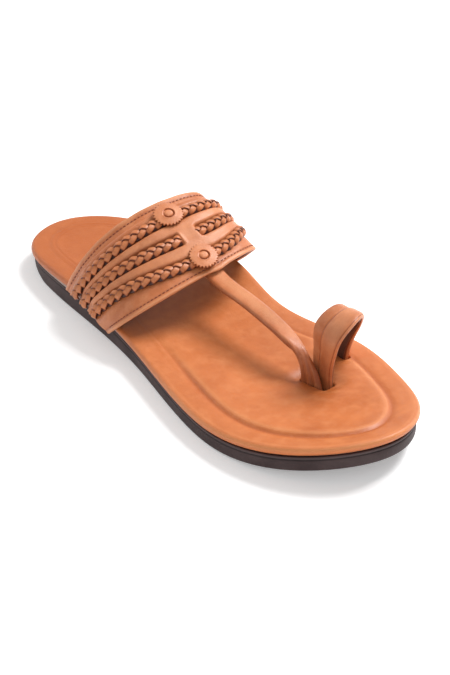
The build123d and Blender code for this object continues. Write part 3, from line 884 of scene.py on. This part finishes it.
# ---------------------------------------------------------------- toe strap and toe loop
def strip_shell(name, left, right, outside, inside, roll, tone, columns=40,
                low_v=0.0, high_v=1.0, facing=1, edge_tone=0.3):
    """Closed strap between two edge curves; outside and inside give heights for u and v, and tone
    gives the painted shade and highlights of its outer face.
    """
    first, last = spline(left, STRIP_ROWS), spline(right, STRIP_ROWS)
    u = np.linspace(0, 1, STRIP_ROWS)[:, None]

    def place(v):
        return first[:, None] * (1 - v[..., None]) + last[:, None] * v[..., None]

    def frame_at(v):
        at = place(v)
        along = np.gradient(at, axis=0)
        across = unit(place(v + 0.01) - place(v - 0.01))
        return at, unit(np.cross(across, along)) * facing, across

    parts, tones = [], []

    def add(v, lift, forward, shade):
        at, out, across = frame_at(v)
        parts.append(at + out * lift[..., None] + across * forward[..., None])
        tones.append(shade + 0 * lift)

    vs = np.linspace(low_v, high_v, columns)[None, :] + 0 * u
    add(vs, outside(u, vs), 0 * vs, tone(u, vs))
    # edge_tone paints the rolled edges, a highlight by default, and the inner face gets painted
    # shade
    turn = np.radians(np.linspace(72, -72, 7))[None, :]
    for edge_v, sign in ((high_v, 1), (low_v, -1)):
        v = edge_v + 0 * u
        top, bottom = outside(u, v), inside(u, v)
        middle, half = (top + bottom) / 2, (top - bottom) / 2
        angles = turn * sign
        add(v + 0 * angles, middle + half * np.sin(angles), sign * roll * half * np.cos(angles),
            edge_tone)
        if sign > 0:
            back = np.linspace(high_v, low_v, columns)[None, :] + 0 * u
            add(back, inside(u, back), 0 * back, -0.4)
    return make_mesh(name, np.concatenate(parts, 1),
                     shade=np.concatenate(tones, 1), caps=True)


def make_strap():
    def outside(u, v):
        crown = 0.8 * (1 - np.abs(2 * v - 1) ** 5)
        pleats = 0.4 * smooth(u, 0.76, 0.95) * np.sin(2 * np.pi * (2.5 * v + 0.1))
        return -0.3 + crown + pleats

    def inside(u, v):
        return -2.1 + 0 * v + 0 * u

    def tone(u, v):
        # painted highlight along the lit top, painted shade on the lateral flank and in the pleat
        # hollows
        lit = 0.45 * bell(v, 0.62, 0.3) * (1 - smooth(u, 0.5, 0.8))
        lit = lit - 0.5 * (1 - smooth(v, 0.0, 0.1))
        return lit - 0.5 * smooth(u, 0.78, 0.95) * (0.5 - 0.5 * np.cos(2 * np.pi * 2.5 * v))

    # edge_tone of -0.55 paints shade on the strap's rolled edges, and the underside piece below is
    # painted a little darker as shade
    strap = strip_shell("toe_strap_leather", STRAP_LATERAL, STRAP_MEDIAL, outside, inside,
                        0.55, tone, facing=-1, edge_tone=-0.55)
    finish_piece(strap, UPPER_LEATHER, "upper_leather", "toe_strap")
    lining = strip_shell("toe_strap_underside", STRAP_LATERAL, STRAP_MEDIAL,
                         lambda u, v: -2.15 + 0 * v + 0 * u, lambda u, v: -2.85 + 0 * v + 0 * u,
                         0.6, lambda u, v: -0.2 + 0 * v, columns=14, low_v=0.07, high_v=0.93,
                         facing=-1)
    finish_piece(lining, LINING_LEATHER, "lining_leather", "toe_strap_lining")


def make_loop():
    split = 0.385

    def rear_out(u, v):
        t = v / split
        return -0.45 + 0.5 * (1 - np.abs(2 * t - 1) ** 5)

    def front_out(u, v):
        t = (v - split) / (1 - split)
        return 0.1 + 0.6 * (1 - np.abs(2 * t - 1) ** 6.0) + 0.1 * np.sin(17 * u + 5 * v)

    def inside(u, v):
        return -1.75 + 0 * v + 0 * u

    def tone(u, v):
        # painted shade along the lap between the two bands and along the outer edges; the sine
        # gives random tone
        seam = bell(v, split, 0.028) + bell(v, 0, 0.02) + bell(v, 1, 0.015)
        return 0.15 - 1.2 * seam + 0.15 * np.sin(9 * u + 6 * v)

    rear = strip_shell("toe_loop_rear", LOOP_REAR, LOOP_FRONT, rear_out, inside, 0.8, tone,
                       columns=22, low_v=0.0, high_v=split + 0.015)
    finish_piece(rear, UPPER_LEATHER, "upper_leather", "toe_loop_rear_band")
    front = strip_shell("toe_loop_front", LOOP_REAR, LOOP_FRONT, front_out, inside, 0.7, tone,
                        columns=34, low_v=split, high_v=1.0)
    finish_piece(front, UPPER_LEATHER, "upper_leather", "toe_loop_front_band")
    lining = strip_shell("toe_loop_inside", LOOP_REAR, LOOP_FRONT,
                         lambda u, v: -1.8 + 0 * v + 0 * u, lambda u, v: -2.6 + 0 * v + 0 * u,
                         0.6, lambda u, v: 0 * v, columns=24, low_v=0.025, high_v=0.965)
    finish_piece(lining, LINING_LEATHER, "lining_leather", "toe_loop_lining")


# ---------------------------------------------------------------- camera, light and floor
def make_camera():
    data = bpy.data.cameras.new("camera")
    camera = bpy.data.objects.new("camera", data)
    bpy.context.scene.collection.objects.link(camera)
    camera.location = (-0.5757, -0.8364, 0.5937)
    aim = Vector((0.0111, 0.0079, 0.0)) - camera.location
    camera.rotation_euler = aim.to_track_quat("-Z", "Y").to_euler()
    data.sensor_width = 36
    data.lens = 127.5
    bpy.context.scene.camera = camera


def make_light(name, place, aim, size, power):
    data = bpy.data.lights.new(name, "AREA")
    data.shape = "RECTANGLE"
    data.size, data.size_y = size
    data.energy = power
    light = bpy.data.objects.new(name, data)
    bpy.context.scene.collection.objects.link(light)
    light.location = place
    light.rotation_euler = (Vector(aim) - Vector(place)).to_track_quat("-Z", "Y").to_euler()


def make_stage():
    bpy.ops.mesh.primitive_plane_add(size=8)
    floor = bpy.context.object
    floor.name = "studio_floor"
    n = Nodes("studio_floor")
    tint = n.noise(300, 2.0)
    n.link(n.mix(n.ranged(tint, 0.4, 0.6), (0.90, 0.90, 0.90), (0.93, 0.93, 0.93)),
           n.shader.inputs["Base Color"])
    n.set(Roughness=0.9, Specular_IOR_Level=0.1, Emission_Strength=0.3)
    n.set(Emission_Color=(1, 1, 1, 1))
    floor.data.materials.append(n.material)
    world = bpy.data.worlds.new("studio")
    bpy.context.scene.world = world
    world.use_nodes = True
    world.node_tree.nodes["Background"].inputs["Color"].default_value = (1, 1, 1, 1)
    world.node_tree.nodes["Background"].inputs["Strength"].default_value = 0.40
    make_light("key", (0.80, 0.02, 1.02), (0, -0.07, 0), (0.6, 0.6), 21)
    make_light("rim", (-0.3, 1.2, 0.7), (0, 0, 0.02), (1.2, 0.5), 3)
    make_light("fill", (-1.0, -1.1, 1.0), (0, 0, 0), (1.0, 1.0), 4.5)
    bpy.context.scene.view_settings.view_transform = "Standard"


make_camera()
make_stage()
make_outsole()
make_midsole()
make_footbed()
make_band()
make_braid("plait_rear", REAR_LINE, FIRST_S, LAST_S, "rear_braid")
make_braid("plait_centre_outer", CENTRE_LINE, FIRST_S, SLIT_S + 3.2, "centre_braid_lateral")
make_braid("plait_centre_inner", CENTRE_LINE, TUCK_S - 4.0, LAST_S, "centre_braid_medial")
make_braid("plait_front", FRONT_LINE, FIRST_S, LAST_S, "front_braid")
make_rosette("rosette_rear", REAR_DISC_V, "rear_disc")
make_rosette("rosette_front", FRONT_DISC_V, "front_disc")
make_stitches("stitches_rear", REAR_STITCH_V, "rear_stitching")
make_stitches("stitches_front", FRONT_STITCH_V, "front_stitching")
make_strap()
make_loop()
for node, material in (("insole_board", BOARD), ("bottom_filler", FELT)):
    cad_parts[node].data.materials.clear()
    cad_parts[node].data.materials.append(material)
